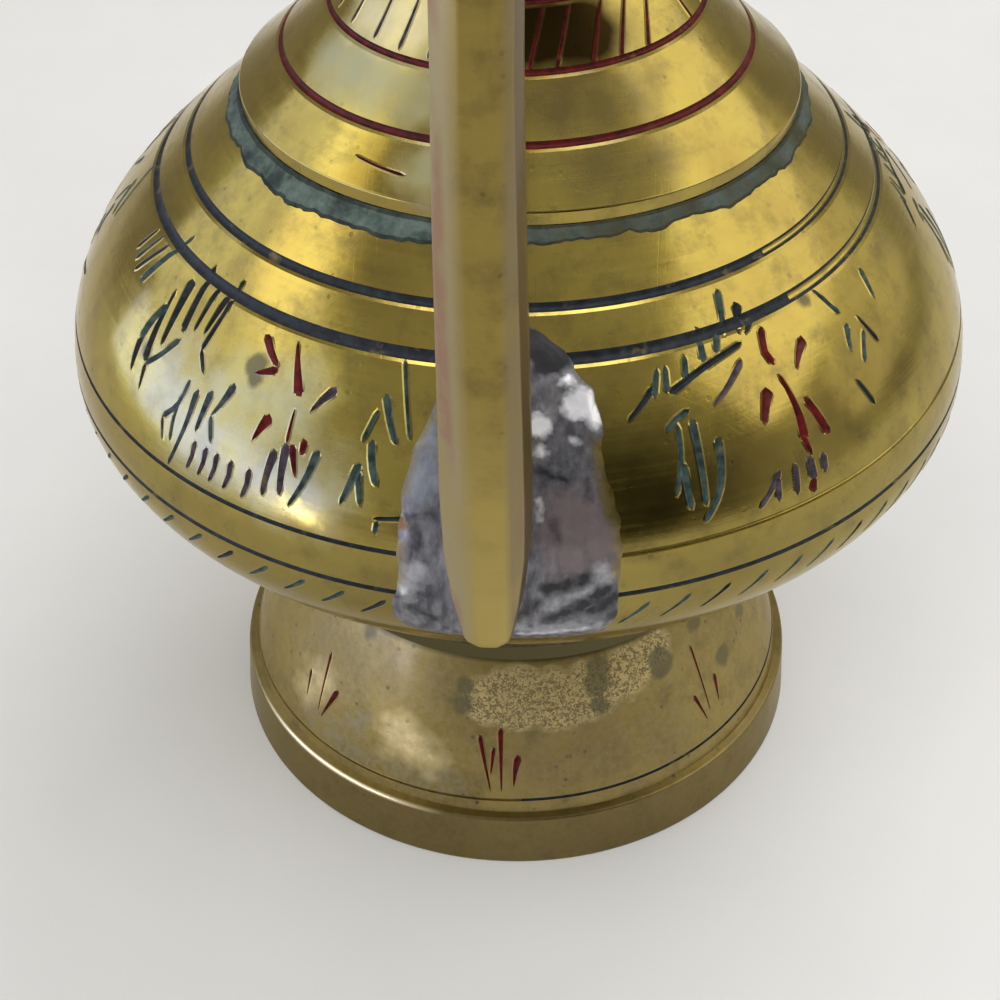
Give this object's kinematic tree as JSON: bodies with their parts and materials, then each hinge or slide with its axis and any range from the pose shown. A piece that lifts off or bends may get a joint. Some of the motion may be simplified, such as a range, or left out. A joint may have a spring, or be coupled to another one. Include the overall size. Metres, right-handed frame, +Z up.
{
  "type": "brass ewer",
  "caption": "Spouted brass ewer with a flared foot, squat bowl, tall neck, hinged domed lid, bevelled handle and curved spout, for pouring water.",
  "frame": {"origin": "centre of the foot's base on the table", "axes": "+Z up along the axis of the bowl and neck, +Y towards the spout, -Y towards the handle"},
  "size_m": [0.0908, 0.1204, 0.1745],
  "materials": {
    "bowl_brass": "aged polished brass with engraved, lacquer-filled strokes and turned lines",
    "neck_brass": "aged polished brass with red lacquer in the turned lines",
    "foot_brass": "dull, blotched and pitted brass with a few red strokes",
    "handle_brass": "satin brass with traces of red paint on its edges",
    "spout_brass": "aged polished brass",
    "lid_brass": "aged polished brass",
    "hinge_brass": "dull worn brass",
    "solder": "grey soft solder, smeared and stained",
    "green_solder": "solder seam crusted with grey-green verdigris"
  },
  "bodies": {
    "ewer": {"foot": "foot_brass", "foot_solder": "solder", "lower_bowl": "bowl_brass", "upper_bowl": "bowl_brass", "neck_cone": "neck_brass", "neck_solder": "green_solder", "neck_knop": "neck_brass", "neck_tube": "neck_brass", "mouth_cup": "neck_brass", "rim_bead": "neck_brass", "spout": "spout_brass", "spout_solder": "solder", "spout_lip": "spout_brass", "handle": "handle_brass", "handle_low_solder": "solder", "handle_top_solder": "solder", "hinge_bracket": "hinge_brass", "hinge_pin": "hinge_brass"},
    "lid": {"lid": "lid_brass", "lid_flange": "lid_brass", "lid_leaf": "hinge_brass", "finial": "lid_brass", "finial_washer": "hinge_brass"}
  },
  "joints": [
    {"name": "lid_hinge", "type": "hinge", "parent": "ewer", "child": "lid", "pos_m": [0, -0.0218, 0.1462], "axis": [1, 0, 0], "range_deg": [0, 105]}
  ]
}
